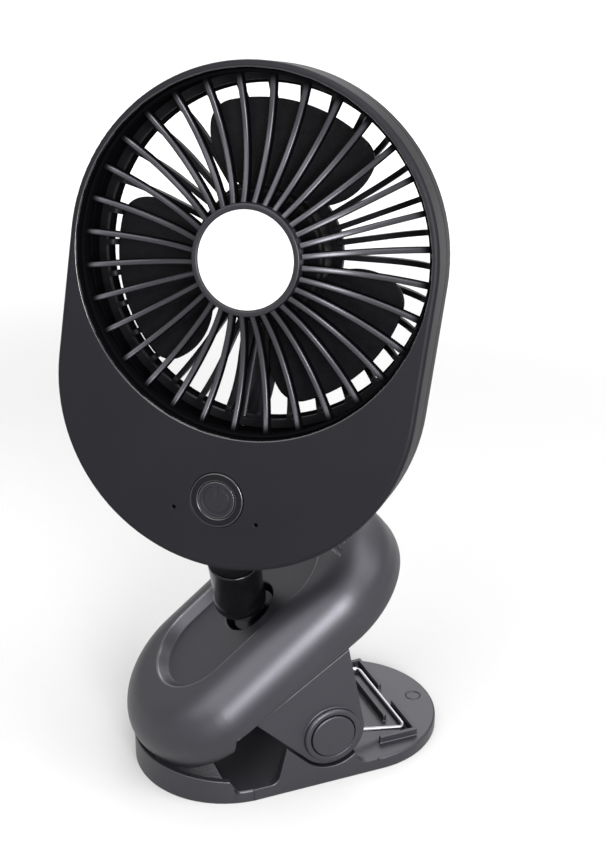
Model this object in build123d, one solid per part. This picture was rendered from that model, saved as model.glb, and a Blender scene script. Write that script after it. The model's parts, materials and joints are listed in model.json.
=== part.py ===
from build123d import *
import math
import os

# A rechargeable clip-on desk fan: a round-ended head on a ball neck, carried by a sprung clamp.
# Millimetres, +Z up, +X to the clamp's tail, -Y to its near side, origin under the middle of the base.

# Clearances
running_gap = 0.08      # radial play where one piece turns in another
seat_gap = 0.2          # play where a fixed piece seats in another
body_gap = 0.5          # room between bodies that pass each other
overrun = 5.0           # how far a cut runs past the material

# Clamp, whose two halves share one width
clamp_width = 60.0

# Clamp base
base_length = 102.0
tail_thickness = 4.2
floor_thickness = 3.0
base_edge_round = 0.8
rim_wall = 2.2
rim_tip_height = 9.6
rim_side_height = 8.0
throat_front = 30.0     # rim's end before the middle
rim_end_lean = 1.8
cheek_wall = 3.0
cheek_front = 14.9      # foot of the cheeks before the middle
cheek_lean = 3.5
cheek_back = 11.4
cheek_height = 18.0
cheek_foot = 8.0        # how far a cheek's foot runs along the plate
throat_round = 3.0
cheek_round = 4.6

# Pivot of the clamp
pivot_x = 3.4
pivot_z = 17.5
pin_radius = 2.5
pin_inset = 0.5         # pin's end inside the ear's outer face
lug_radius = 7.5
lug_gap = 1.8           # lug to ear
lug_wall = 3.8
barrel_radius = 5.0
barrel_length = 9.9

# Torsion spring
wire_radius = 0.75
coil_radius = 6.2
coil_pitch = 2.1
coil_full_turns = 3
bridge_x = 34.1
spring_side_gap = 1.7   # lower leg's middle to the lug
spring_bend_radius = 2.4
spring_touch = 0.1
spring_leg_seat = 22.0  # where the upper legs bear on the frame, along the upper jaw
rib_wall = 1.3
rib_height = 2.4
rib_clearance = 0.4
inner_rib_offset = 3.6  # inner rib to wire, along X
inner_rib_half = 12.0
corner_rib_run = 12.0
corner_rib_start = 5.0
corner_rib_clearance = 2.1
dimple_radius = 2.45    # shallow round mark near the end of the tail
dimple_depth = 0.2
dimple_x = 45.2
dimple_y = -1.9

# Lower jaw foam
lower_foam_thickness = 2.0

# Upper jaw: a long rounded body, tilted up to the tail
jaw_tilt_deg = 38.0
pivot_before = 5.3      # pivot in the jaw's own frame
pivot_below = 25.9
jaw_length = 104.0
jaw_half_depth = 14.0
jaw_edge_round = 12.6
jaw_wall = 2.4
parting_below = 5.6     # lower edge of the nose under the middle plane
nose_back = 29.5        # end of the nose before the middle
nose_step = 3.0
seam_below = 4.6        # seam to the frame, under the middle of the jaw
seam_slope = 0.085      # how fast it falls to the tail
seam_end = 22.0
jaw_cavity_round = 8.0
recess_length = 61.0
recess_border = 15.0    # recess to the jaw's sides
recess_depth = 3.0
recess_bevel = 2.4
well_radius = 9.0
well_depth = 4.5
well_wall = 2.0
well_chamfer = 0.8
grip_count = 4
grip_first = 35.0
grip_pitch = 3.6
grip_radius = 0.8
grip_length = 36.0

# Frame under the upper jaw, with its two ears
frame_thickness = 2.2
ear_inset = 1.0         # ear's outer face inside the clamp's side
ear_wall = 3.0
ear_end_radius = 11.2
ear_front_foot = 13.9   # ear's reach before the pivot at the seam
ear_rear_foot = 22.4
ear_seam = 0.3
ear_root_wall = 1.2
collar_radius = 9.3
collar_bore = 7.4
collar_height = 1.6
collar_round = 0.9
cap_radius = 7.1
cap_height = 2.0
cap_round = 0.5
boss_radius = 3.2
jaw_screw_along = 34.0
jaw_screw_across = 13.0

# Upper jaw foam
upper_foam_thickness = 1.5
upper_foam_length = 14.0
upper_foam_inset = 2.6

# Screws
screw_radius = 1.2
screw_head_radius = 2.5
screw_head_height = 1.5
screw_length = 9.0

# Neck: ball on the clamp, cup and stem under the head
neck_along = 2.6        # ball centre along the upper jaw
ball_rise = 4.7         # ball centre above the recess floor
ball_radius = 6.2
stud_neck_radius = 2.8
stud_foot_radius = 5.0
stud_foot_height = 1.6
flange_radius = 7.6
flange_height = 1.6
spigot_radius = 4.0
stud_washer_radius = 6.6
washer_thickness = 1.2
stud_screw_length = 8.0
cup_radius = 8.3
cup_edge_deg = 96.0     # how far the grip reaches round the ball
collar_joint = 0.6      # collar's seam below the middle of the ball
collar_seam = 0.12
waist_radius = 7.8      # knuckle above the ball
shoulder_radius = 8.2   # knuckle under the head
shoulder_round = 0.6
stem_radius = 4.6
stem_length = 33.0
neck_angle_deg = 36.0   # stem to the head's long axis
neck_boss_radius = 8.2
neck_boss_start = 21.5
neck_boss_end = 38.6
neck_boss_round = 1.2
neck_pocket_radius = 6.8
neck_pocket_depth = 3.8
neck_washer_radius = 6.3
neck_screw_head_radius = 3.2
neck_screw_head_height = 1.6
neck_screw_length = 10.0

# Head: its pose, then its shape
face_turn_deg = 37.9    # turned from straight ahead to the jaw's tip
face_lift_deg = 9.7     # looking up
face_roll_deg = -5.5
head_drop = 111.0       # fan axis to ball centre, down the head
head_reach = 38.0       # front face to ball centre
head_radius = 52.0
lower_arc_drop = 36.5
opening_radius = 50.0
cover_depth = 11.0
head_depth = 20.0
head_wall = 2.0
duct_wall = 1.8
front_round = 1.4
back_round = 4.0
rear_opening_radius = 46.5
rear_lip = 2.5
seam = 0.15

# Screws of the head
upper_screw_across = 44.5
upper_screw_drop = 38.0
lower_screw_across = 33.0
lower_screw_drop = 69.5
head_boss_radius = 3.2
countersink_depth = 1.7

# Grilles
rib_count = 32
front_rib_phase_deg = 1.0
hub_ring_radius = 15.2
hub_ring_depth = 4.8
hub_proud = 2.4         # hub ring before the front face
badge_radius = 13.5
badge_edge = 0.9
badge_crown = 0.6
badge_seat = 1.2
grille_rib_wall = 1.6
grille_rib_depth = 3.2
grille_rim_wall = 0.9
grille_rim_margin = 0.6 # rim before and behind the ribs' ends
rib_root_radius = 14.4
rib_root_proud = 0.6
dish_radius = 32.0      # where the ribs lie deepest
dish_depth = 6.2
rib_end_depth = 3.6
rear_rib_wall = 1.6
rear_ring_width = 2.6
rear_ring_depth = 2.0
rear_hub_radius = 21.0
rear_hub_depth = 2.2
rear_rib_depth = 2.8
basket_radius = 41.0    # where the rear ribs have turned flat
basket_depth = 4.4
rear_dome_depth = 6.4   # hub of the rear grille behind its ring
strut_width = 12.0
strut_thickness = 1.0

# Fan and motor
fan_radius = 42.6
fan_hub_radius = 18.8
fan_hub_wall = 1.6
fan_hub_recess = 9.5    # hub's front behind the front face
fan_hub_depth = 9.9
fan_hub_round = 1.6
blade_count = 3
blade_wall = 1.4
blade_rise = 4.6
blade_recess = 12.8     # middle of the blades behind the front face
blade_spread_deg = 40.0
blade_root_deg = 24.0
blade_tip_deg = 33.0
blade_tip_round = 7.0
blade_phase_deg = -38.0
blade_mid_share = 0.62   # where the blade is broadest, from root to tip
blade_margin_share = 0.2 # how much farther the sheet it is cut from goes round
sheet_shares = (-1, -0.5, 0, 0.5, 1)
shaft_radius = 1.0
bush_radius = 3.0
stator_radius = 15.4
stator_depth = 8.0
magnet_wall = 0.9
magnet_depth = 7.9
lead_radius = 0.6
lead_bend = 3.0

# Switch, lights and board
button_drop = 68.4
bezel_radius = 7.85
bezel_wall = 2.35
bezel_front = 0.25
bezel_depth = 2.1
button_radius = 5.35
button_front = 0.2
button_travel = 0.8
button_flange_radius = 6.7
button_flange = 0.8
mark_arc_radius = 3.9
mark_width = 0.55
mark_bar_middle = 2.4
mark_bar_length = 3.6
mark_depth = 0.25
mark_gap_deg = 60.0
switch_width = 6.0
switch_height = 3.2
plunger_radius = 1.6
light_across = 12.3
light_drop = 73.1
light_radius = 0.45
board_recess = 7.5      # board's front behind the front face
board_thickness = 1.2
board_half_width = 25.0
board_top = 53.6
board_bottom = 78.5
board_wing_out = 38.0
board_wing_top = 50.5
board_wing_bottom = 63.0
board_arm_in = 31.5
board_arm_out = 44.0
board_arm_top = 43.5
board_post_radius = 2.6
board_post_across = 19.0
board_post_drop = 59.0
board_screw_length = 5.0
socket_drop = 48.0
socket_width = 9.0
socket_height = 3.2
socket_depth = 8.0
socket_wall = 0.5
socket_lip = 1.0        # mouth of the socket inside the outer wall
cell_length = 54.0
cell_width = 18.5
cell_thickness = 7.2
cell_top = 57.2
cell_round = 1.2


# Frames of the three main bodies
jaw_angle = math.radians(jaw_tilt_deg)
along = Vector(math.cos(jaw_angle), 0, math.sin(jaw_angle))
outward = Vector(-math.sin(jaw_angle), 0, math.cos(jaw_angle))
pivot = Vector(pivot_x, 0, pivot_z)
jaw_origin = pivot + along * pivot_before + outward * pivot_below
jaw_frame_plane = Plane(origin=jaw_origin, x_dir=along, z_dir=outward)

recess_floor = jaw_half_depth - recess_depth
well_floor = recess_floor - well_depth
ball_height = recess_floor + ball_rise
ball_centre = jaw_origin + along * neck_along + outward * ball_height

turn = math.radians(face_turn_deg)
lift = math.radians(face_lift_deg)
facing = Vector(-math.sin(turn) * math.cos(lift), -math.cos(turn) * math.cos(lift), math.sin(lift))
level = Vector(math.cos(turn), -math.sin(turn), 0)
sideways = level.rotate(Axis((0, 0, 0), facing), face_roll_deg)
upright = facing.cross(sideways)
fan_centre = ball_centre + upright * head_drop + facing * head_reach
head_plane = Plane(origin=fan_centre, x_dir=sideways, z_dir=facing)

# Places across the clamp, from its sides inwards
ear_outer = clamp_width / 2 - ear_inset
ear_inner = ear_outer - ear_wall
lug_outer = ear_inner - lug_gap
lug_inner = lug_outer - lug_wall
barrel_inner = lug_inner - barrel_length
spring_half_width = lug_inner - spring_side_gap
recess_width = clamp_width - 2 * recess_border

neck_angle = math.radians(neck_angle_deg)
neck_origin = Vector(0, -head_drop, -head_reach)
neck_axis = Vector(0, math.cos(neck_angle), math.sin(neck_angle))
neck_plane = Plane(origin=neck_origin, x_dir=(1, 0, 0), z_dir=neck_axis)
stud_plane = Plane(origin=ball_centre, x_dir=along, z_dir=outward)


# Small makers shared by the pieces
def save(name, shape, plane=Plane.XY):
    """Put a piece in its place and write it."""
    os.makedirs("parts", exist_ok=True)
    export_step(plane.location * shape, f"parts/{name}.step")


def rod(radius, low, high):
    """A round bar along Z between two heights."""
    return extrude(Plane.XY.offset(low) * Circle(radius), high - low)


def pipe(outer, inner, low, high):
    """A round pipe along Z between two heights."""
    return extrude(Plane.XY.offset(low) * (Circle(outer) - Circle(inner)), high - low)


def block(x_low, x_high, y_low, y_high, z_low, z_high):
    """A box between two corners."""
    size = (x_high - x_low, y_high - y_low, z_high - z_low)
    return Pos(x_low, y_low, z_low) * Box(*size, align=(Align.MIN, Align.MIN, Align.MIN))


def upright_plate(profile, y_low, y_high):
    """A profile drawn in X and Z, thickened along Y."""
    plane = Plane(origin=(0, y_high, 0), x_dir=(1, 0, 0), z_dir=(0, -1, 0))
    return extrude(plane * profile, y_high - y_low)


def both_sides(profile, inner, outer):
    """The same plate on the near and the far side."""
    return upright_plate(profile, inner, outer) + upright_plate(profile, -outer, -inner)


def across(radius, y_low, y_high, x, z):
    """A round bar along Y."""
    return upright_plate(Pos(x, z) * Circle(radius), y_low, y_high)


def screw(head_radius, head_height, length):
    """A pan-head screw whose head stands on Z = 0 and whose shank hangs below it."""
    return rod(head_radius, 0, head_height) + rod(screw_radius, -length, 0)


def long_body(grow=0):
    """The upper jaw's outer form, or the same form grown all round."""
    plan = SlotOverall(jaw_length + 2 * grow, clamp_width + 2 * grow)
    body = extrude(plan, jaw_half_depth + grow, both=True)
    faces = body.faces().sort_by(Axis.Z)
    return fillet(faces[0].edges() + faces[-1].edges(), jaw_edge_round + grow)


# Seam between shell and frame, in the upper jaw's own frame: flat under the nose, then falling to the tail
def seam_level(x):
    """Height of the seam at a place along the jaw."""
    if x < -nose_back:
        return -parting_below
    return -seam_below - seam_slope * min(x, seam_end)


def seam_line(lift=0):
    """Side view of the seam from the nose to the tail, or the same line lifted."""
    spots = (-jaw_length, -nose_back, nose_step - nose_back, seam_end, jaw_length)
    levels = [-parting_below, -parting_below] + [seam_level(x) for x in spots[2:]]
    return [(x, z + lift) for x, z in zip(spots, levels)]


def under_seam(clearance=0):
    """Everything below the seam, or below a line set lower by a clearance."""
    low = -2 * jaw_half_depth
    line = seam_line(-clearance)
    side = make_face(Polyline(*line, (jaw_length, low), (-jaw_length, low), close=True))
    return upright_plate(side, -clamp_width, clamp_width)


# Ear: from its foot on the seam, straight edges run down to a round end about the pivot
def tangent_point(foot, turn_way):
    """Where an ear's edge from its foot touches the round end."""
    reach_x = foot[0] + pivot_before
    reach_z = foot[1] + pivot_below
    swing = math.acos(ear_end_radius / math.hypot(reach_x, reach_z))
    angle = math.atan2(reach_z, reach_x) + turn_way * swing
    return (ear_end_radius * math.cos(angle) - pivot_before, ear_end_radius * math.sin(angle) - pivot_below)


def ear_outline(drop, grow=0):
    """The ear's side view up to a drop below the seam, or grown for clearance."""
    front_x = -pivot_before - ear_front_foot
    rear_x = -pivot_before + ear_rear_foot
    front_foot = (front_x, seam_level(front_x) - drop)
    rear_foot = (rear_x, seam_level(rear_x) - drop)
    centre = (-pivot_before, -pivot_below)
    edges = [front_foot, tangent_point(front_foot, 1), centre, tangent_point(rear_foot, -1), rear_foot]
    face = make_face(Polyline(*edges, close=True)) + Pos(*centre) * Circle(ear_end_radius)
    return offset(face, grow) if grow else face


def nose_room(clearance):
    """The space the upper jaw's nose needs in the base."""
    return jaw_frame_plane.location * (long_body(clearance) - under_seam(clearance))


# Clamp base: lower jaw in front, cheeks and lugs at the pivot, tail plate behind
base_outline = SlotOverall(base_length, clamp_width)
inner_outline = offset(base_outline, -rim_wall)
base = extrude(base_outline, tail_thickness)
base = fillet(base.faces().sort_by(Axis.Z)[-1].edges(), base_edge_round)
pocket = extrude(Plane.XY.offset(floor_thickness) * inner_outline, overrun)
pocket -= block(-throat_front, base_length, -clamp_width, clamp_width, 0, rim_tip_height)
base -= pocket

rim = extrude(base_outline - inner_outline, rim_tip_height)
rim_end = rim_end_lean - throat_front
over_rim = make_face(
    Polyline(
        (-base_length / 2, rim_tip_height),
        (-throat_front, rim_side_height),
        (rim_end, tail_thickness),
        (rim_end, -overrun),
        (base_length, -overrun),
        (base_length, rim_tip_height + overrun),
        (-base_length / 2, rim_tip_height + overrun),
        close=True,
    )
)
rim -= upright_plate(over_rim, -clamp_width, clamp_width)
base += rim - nose_room(body_gap)

cheek = Polyline(
    (-cheek_front - cheek_foot, 0),
    (-cheek_front - cheek_foot, tail_thickness),
    (-cheek_front, tail_thickness),
    (cheek_lean - cheek_front, cheek_height),
    (cheek_back, cheek_height),
    (cheek_back, tail_thickness),
    (cheek_back + cheek_foot, tail_thickness),
    (cheek_back + cheek_foot, 0),
    close=True,
)
cheek = make_face(cheek)
cheek = fillet(cheek.vertices().sort_by_distance((-cheek_front, tail_thickness))[0], throat_round)
cheek = fillet(cheek.vertices().sort_by_distance((cheek_back, tail_thickness))[0], cheek_round)
cheeks = both_sides(cheek, clamp_width / 2 - cheek_wall, clamp_width / 2)
ear_room = both_sides(ear_outline(0, body_gap), ear_inner - body_gap, clamp_width)
cheeks -= jaw_frame_plane.location * ear_room
base += cheeks

lug = Pos(pivot_x, pivot_z) * Circle(lug_radius)
lug += Pos(pivot_x, pivot_z / 2) * Rectangle(2 * lug_radius, pivot_z)
base += both_sides(lug, lug_inner, lug_outer)
for side in (1, -1):
    barrel_ends = sorted((side * barrel_inner, side * lug_outer))
    base += across(barrel_radius, *barrel_ends, pivot_x, pivot_z)

# Ribs on the tail plate that keep the spring's bridge in place
rib_top = tail_thickness + rib_height
outer_rib = bridge_x + wire_radius + rib_clearance
inner_rib = bridge_x - inner_rib_offset - rib_wall
corner_rib = spring_half_width + wire_radius + corner_rib_clearance
base += block(inner_rib, inner_rib + rib_wall, -inner_rib_half, inner_rib_half, 0, rib_top)
for side in (1, -1):
    rib_ends = sorted((side * corner_rib_start, side * (corner_rib + rib_wall)))
    corner_ends = sorted((side * corner_rib, side * (corner_rib + rib_wall)))
    base += block(outer_rib, outer_rib + rib_wall, *rib_ends, 0, rib_top)
    base += block(outer_rib - corner_rib_run, outer_rib + rib_wall, *corner_ends, 0, rib_top)
base -= across(pin_radius + running_gap, -clamp_width, clamp_width, pivot_x, pivot_z)
base -= Pos(dimple_x, dimple_y) * rod(dimple_radius, tail_thickness - dimple_depth, tail_thickness + overrun)
save("base_plate", base)

pin_half = ear_outer - pin_inset
save("pivot_pin", across(pin_radius, -pin_half, pin_half, pivot_x, pivot_z))

# Lower jaw foam, cut to the inside of the rim
foam_plan = offset(inner_outline, -seat_gap)
lower_foam = extrude(Plane.XY.offset(floor_thickness) * foam_plan, lower_foam_thickness)
lower_foam -= block(-throat_front - seat_gap, base_length, -clamp_width, clamp_width, 0, rim_tip_height)
lower_foam -= nose_room(body_gap)
save("jaw_foam_lower", lower_foam)


# Double torsion spring: one wire from leg to coil to bridge to coil to leg
def spring_point(heading, y):
    """A point of the coil where the wire runs at a heading seen from the side."""
    return pivot + Vector(-coil_radius * math.sin(heading), y, coil_radius * math.cos(heading))


def biarc(start, start_way, end, end_way):
    """Two arcs from one point to another that keep both headings."""
    chord = end - start
    square = 2 * (1 - start_way.dot(end_way))
    slope = 2 * chord.dot(start_way + end_way)
    reach = (math.sqrt(slope**2 + 4 * square * chord.dot(chord)) - slope) / (2 * square)
    first = start + start_way * reach
    second = end - end_way * reach
    middle = (first + second) / 2
    return [
        Edge.make_tangent_arc(start, start_way, middle),
        Edge.make_tangent_arc(middle, (second - first).normalized(), end),
    ]


bridge_z = tail_thickness + wire_radius + spring_touch
seat = jaw_origin + along * spring_leg_seat
seat -= outward * (wire_radius + spring_touch - seam_level(spring_leg_seat))
corner = Vector(bridge_x, 0, bridge_z)
to_pivot = pivot - corner
to_seat = seat - pivot
low_heading = math.atan2(to_pivot.Z, to_pivot.X) + math.asin(coil_radius / to_pivot.length)
high_heading = math.atan2(to_seat.Z, to_seat.X) - math.asin(coil_radius / to_seat.length)
coil_sweep = low_heading - high_heading + 2 * math.pi * coil_full_turns
coil_run = coil_pitch * coil_sweep / (2 * math.pi)
half_turns = round(coil_sweep / math.pi)


def spring_half(side):
    """Half of the wire, from the middle of the bridge to the end of a leg."""
    leg_y = side * spring_half_width
    rise = -side * coil_run / (coil_radius * coil_sweep)
    low_way = Vector(math.cos(low_heading), 0, math.sin(low_heading))
    bend_in = Vector(bridge_x, leg_y - side * spring_bend_radius, bridge_z)
    bend_out = Vector(bridge_x, leg_y, bridge_z) + low_way * spring_bend_radius
    edges = [
        Edge.make_line(Vector(bridge_x, 0, bridge_z), bend_in),
        Edge.make_tangent_arc(bend_in, Vector(0, side, 0), bend_out),
        Edge.make_line(bend_out, spring_point(low_heading, leg_y)),
    ]
    knots = []
    for step in range(half_turns + 1):
        share = step / half_turns
        heading = low_heading - coil_sweep * share
        flat = step in (0, half_turns)
        way = Vector(math.cos(heading), 0 if flat else rise, math.sin(heading)).normalized()
        knots.append((spring_point(heading, leg_y - side * coil_run * share), way))
    for (start, start_way), (end, end_way) in zip(knots, knots[1:]):
        edges += biarc(start, start_way, end, end_way)
    leg_end = Vector(seat.X, knots[-1][0].Y, seat.Z)
    edges.append(Edge.make_line(knots[-1][0], leg_end))
    return edges


def least_gap(edges, spacing, skip):
    """Smallest clear distance between stretches of the wire that lie apart along it."""
    points = []
    run = 0
    for edge in edges:
        steps = max(2, math.ceil(edge.length / spacing))
        for step in range(steps):
            points.append((run + edge.length * step / steps, edge @ (step / steps)))
        run += edge.length
    gap = run
    for i, (run_a, a) in enumerate(points):
        for run_b, b in points[i + 1 :]:
            if run_b - run_a > skip:
                gap = min(gap, (a - b).length)
    return gap - 2 * wire_radius


far_half = spring_half(1)
near_half = spring_half(-1)
wire_path = Wire(far_half + near_half)
wire_section = Plane(origin=wire_path @ 0, z_dir=wire_path % 0) * Circle(wire_radius)
spring = sweep(wire_section, path=wire_path)
wire_volume = math.pi * wire_radius**2 * wire_path.length
print("spring wire", round(wire_path.length, 1), "volume share", round(spring.volume / wire_volume, 4))
print("spring least gap", round(least_gap(far_half, wire_radius, coil_radius), 3))
save("torsion_spring", spring)

# Upper jaw shell: hollow long body with a racetrack recess, a well for the neck and a thumb grip
shell = long_body()
cavity_plan = SlotOverall(jaw_length - 2 * jaw_wall, clamp_width - 2 * jaw_wall)
cavity_top = recess_floor - jaw_wall
cavity_bottom = -jaw_half_depth - overrun
cavity = extrude(Plane.XY.offset(cavity_bottom) * cavity_plan, cavity_top - cavity_bottom)
cavity = fillet(cavity.faces().sort_by(Axis.Z)[-1].edges(), jaw_cavity_round)
shell -= cavity
shell += Pos(neck_along, 0) * rod(well_radius + well_wall, well_floor - well_wall, recess_floor)
shell -= under_seam()
screw_spots = [(x * jaw_screw_along, y * jaw_screw_across) for x in (1, -1) for y in (1, -1)]
for x, y in screw_spots:
    shell += Pos(x, y) * rod(boss_radius, seam_level(x) + frame_thickness + seat_gap, cavity_top)
recess_slope = recess_bevel / recess_depth
recess_top = jaw_half_depth + overrun
recess_spread = 2 * recess_slope * (recess_top - recess_floor)
mouth_plan = SlotOverall(recess_length + recess_spread, recess_width + recess_spread)
recess = loft(
    [
        Plane.XY.offset(recess_floor) * SlotOverall(recess_length, recess_width),
        Plane.XY.offset(recess_top) * mouth_plan,
    ]
)
shell -= recess
shell -= Pos(neck_along, 0) * rod(well_radius, well_floor, recess_top)
from_below = (Align.CENTER, Align.CENTER, Align.MIN)
rim_cone = Cone(well_radius, well_radius + well_chamfer, well_chamfer, align=from_below)
shell -= Pos(neck_along, 0, recess_floor - well_chamfer) * rim_cone
shell -= Pos(neck_along, 0) * rod(spigot_radius + running_gap, cavity_bottom, well_floor)
round_start = jaw_length / 2 - jaw_edge_round
for step in range(grip_count):
    x = grip_first + step * grip_pitch
    past = max(0, x - round_start)
    z = jaw_half_depth - jaw_edge_round + math.sqrt(jaw_edge_round**2 - past**2)
    shell -= across(grip_radius, -grip_length / 2, grip_length / 2, x, z)
for x, y in screw_spots:
    shell -= Pos(x, y) * rod(screw_radius + running_gap, -jaw_half_depth, seam_level(x) + screw_length)
save("upper_shell", shell, jaw_frame_plane)

# Frame under the shell, with the ears and their raised collars
plate_inset = jaw_wall + seat_gap
plate_plan = SlotOverall(jaw_length - 2 * plate_inset, clamp_width - 2 * plate_inset)
plate_side = make_face(Polyline(*seam_line(), *reversed(seam_line(frame_thickness)), close=True))
frame = extrude(plate_plan, jaw_half_depth, both=True)
frame &= upright_plate(plate_side, -clamp_width, clamp_width)
frame += both_sides(ear_outline(ear_seam), ear_inner, ear_outer)
frame += both_sides(ear_outline(-frame_thickness / 2), ear_inner, ear_inner + ear_root_wall)
for side in (1, -1):
    collar_ends = sorted((side * ear_inner, side * (ear_outer + collar_height)))
    collar = across(collar_radius, *collar_ends, -pivot_before, -pivot_below)
    rim_face = collar.faces().sort_by(Axis.Y)[-1 if side > 0 else 0]
    frame += fillet(rim_face.edges(), collar_round)
    bore_ends = sorted((side * ear_outer, side * (ear_outer + collar_height + overrun)))
    frame -= across(collar_bore, *bore_ends, -pivot_before, -pivot_below)
frame -= across(pin_radius + running_gap, -clamp_width, clamp_width, -pivot_before, -pivot_below)
for x, y in screw_spots:
    frame -= Pos(x, y) * rod(screw_radius + running_gap, -jaw_half_depth, jaw_half_depth)
save("jaw_frame", frame, jaw_frame_plane)

caps = Part()
for side in (1, -1):
    cap_ends = sorted((side * (ear_outer + seat_gap), side * (ear_outer + cap_height)))
    cap = across(cap_radius, *cap_ends, -pivot_before, -pivot_below)
    outer_face = cap.faces().sort_by(Axis.Y)[-1 if side > 0 else 0]
    caps += fillet(outer_face.edges(), cap_round)
save("pivot_caps", caps, jaw_frame_plane)

jaw_screws = Part()
for x, y in screw_spots:
    turned = Rot(180, 0, 0) * screw(screw_head_radius, screw_head_height, screw_length)
    jaw_screws += Pos(x, y, seam_level(x)) * turned
save("jaw_screws", jaw_screws, jaw_frame_plane)

# Upper jaw foam: a strip under the nose, cut round like the plate it sticks to
foam_front = -jaw_length / 2 + plate_inset + upper_foam_inset
foam_plan = offset(plate_plan, -upper_foam_inset)
foam_top = -parting_below
upper_foam = extrude(Plane.XY.offset(foam_top - upper_foam_thickness) * foam_plan, upper_foam_thickness)
upper_foam -= block(
    foam_front + upper_foam_length, jaw_length, -clamp_width, clamp_width, -jaw_half_depth, jaw_half_depth
)
for x, y in screw_spots:
    upper_foam -= Pos(x, y) * rod(screw_head_radius + body_gap, -jaw_half_depth, jaw_half_depth)
save("jaw_foam_upper", upper_foam, jaw_frame_plane)

# Ball stud: a foot that turns in the well, a waist and a ball
well_level = -ball_rise - well_depth
foot_low = well_level + seat_gap
foot_high = foot_low + flange_height
stud = rod(flange_radius, foot_low, foot_high)
waist = Cone(stud_foot_radius, stud_neck_radius, stud_foot_height, align=from_below)
stud += Pos(0, 0, foot_high) * waist
stud += rod(stud_neck_radius, foot_high, 0)
stud += Sphere(ball_radius)
spigot_low = well_level - well_wall - seat_gap
stud += rod(spigot_radius, spigot_low, foot_low)
stud -= rod(screw_radius + running_gap, spigot_low, spigot_low + stud_screw_length)
save("ball_stud", stud, stud_plane)

stud_washer = pipe(stud_washer_radius, screw_radius + running_gap, spigot_low - washer_thickness, spigot_low)
save("stud_washer", stud_washer, stud_plane)
stud_screw = Rot(180, 0, 0) * screw(screw_head_radius, screw_head_height, stud_screw_length)
save("stud_screw", Pos(0, 0, spigot_low - washer_thickness) * stud_screw, stud_plane)

# Socket: cup with its stem, and the collar that closes it under the ball
cup_bore = ball_radius + running_gap
hollow_ball = Sphere(cup_radius) - Sphere(cup_bore)
cup_edge = cup_bore * math.cos(math.radians(cup_edge_deg))
upper_half = rod(cup_radius + overrun, -collar_joint, cup_radius + overrun)
lower_band = rod(cup_radius + overrun, cup_edge - collar_joint, -collar_joint - collar_seam)
cup = hollow_ball & upper_half
shoulder = Cone(waist_radius, shoulder_radius, neck_boss_start - body_gap, align=from_below)
shoulder = fillet(shoulder.edges().sort_by(Axis.Z)[-1], shoulder_round)
cup += shoulder - Sphere(cup_bore)
cup += rod(stem_radius, (cup_bore + cup_radius) / 2, stem_length)
cup -= rod(screw_radius + running_gap, stem_length - neck_screw_length, stem_length)
head_location = head_plane.location
neck_world = Plane(head_location * neck_plane.location)
save("socket_cup", cup, neck_world)
save("socket_collar", hollow_ball & lower_band, neck_world)

boss_end = stem_length + seat_gap
neck_washer = pipe(neck_washer_radius, screw_radius + running_gap, boss_end, boss_end + washer_thickness)
save("neck_washer", neck_washer, neck_world)
neck_screw = screw(neck_screw_head_radius, neck_screw_head_height, neck_screw_length)
save("neck_screw", Pos(0, 0, boss_end + washer_thickness) * neck_screw, neck_world)


# Head shells: one round-ended outline, split behind the front cover
def head_outline(inset=0):
    """Front view of the head, or the same set in by a wall."""
    slot = SlotCenterToCenter(lower_arc_drop, 2 * (head_radius - inset), rotation=90)
    return Pos(0, -lower_arc_drop / 2) * slot


def slab(profile, low, high):
    """A front-view profile thickened between two depths."""
    return extrude(Plane.XY.offset(low) * profile, high - low)


board_face = -board_recess
hollow_plan = head_outline(head_wall) - Circle(opening_radius + duct_wall)
head_screw_spots = [(x * upper_screw_across, -upper_screw_drop) for x in (1, -1)]
head_screw_spots += [(x * lower_screw_across, -lower_screw_drop) for x in (1, -1)]
socket_wall_x = math.sqrt(head_radius**2 - (socket_drop - lower_arc_drop) ** 2)
socket_mouth = -socket_wall_x + socket_lip
socket_back = board_face + socket_height
socket_cut = block(
    -head_radius - overrun,
    socket_mouth + socket_depth,
    -socket_drop - socket_width / 2 - seat_gap,
    -socket_drop + socket_width / 2 + seat_gap,
    board_face - seat_gap,
    socket_back + seat_gap,
)

cover = slab(head_outline(), -cover_depth, 0)
cover = fillet(cover.faces().sort_by(Axis.Z)[-1].edges(), front_round)
cover -= slab(Circle(opening_radius), -cover_depth - overrun, overrun)
cover -= slab(hollow_plan, -cover_depth - overrun, -head_wall)
for x, y in head_screw_spots:
    cover += Pos(x, y) * rod(head_boss_radius, -cover_depth + seam, -head_wall)
    cover -= Pos(x, y) * rod(screw_radius + running_gap, -cover_depth, -head_wall)
board_posts = [(x * board_post_across, -board_post_drop) for x in (1, -1)]
for x, y in board_posts:
    cover += Pos(x, y) * rod(board_post_radius, board_face + seam, -head_wall)
    cover -= Pos(x, y) * rod(screw_radius + running_gap, -cover_depth, -head_wall)
cover -= Pos(0, -button_drop) * rod(bezel_radius + running_gap, -cover_depth, overrun)
for x in (light_across, -light_across):
    cover -= Pos(x, -light_drop) * rod(light_radius + running_gap, -cover_depth, overrun)
cover -= socket_cut
save("front_cover", cover, head_plane)

# Depths behind the fan, then the motor lead: from the board's back, through the duct wall, to the stator
ring_back = rear_lip - head_depth + seam
ring_front = ring_back + rear_ring_depth
ring_outer = opening_radius - seat_gap
ring_inner = ring_outer - rear_ring_width
holder_back = ring_back - rear_dome_depth
holder_front = holder_back + rear_hub_depth
board_back = board_face - board_thickness
lead_start = Vector(0, -board_top - lead_radius - seat_gap, board_back - seam)
lead_turn = Vector(0, lead_start.Y, ring_front - lead_radius)
lead_end = Vector(0, -stator_radius - seam, holder_front + lead_radius + seam)
lead_path = FilletPolyline(lead_start, lead_turn, lead_end, radius=lead_bend)


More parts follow.
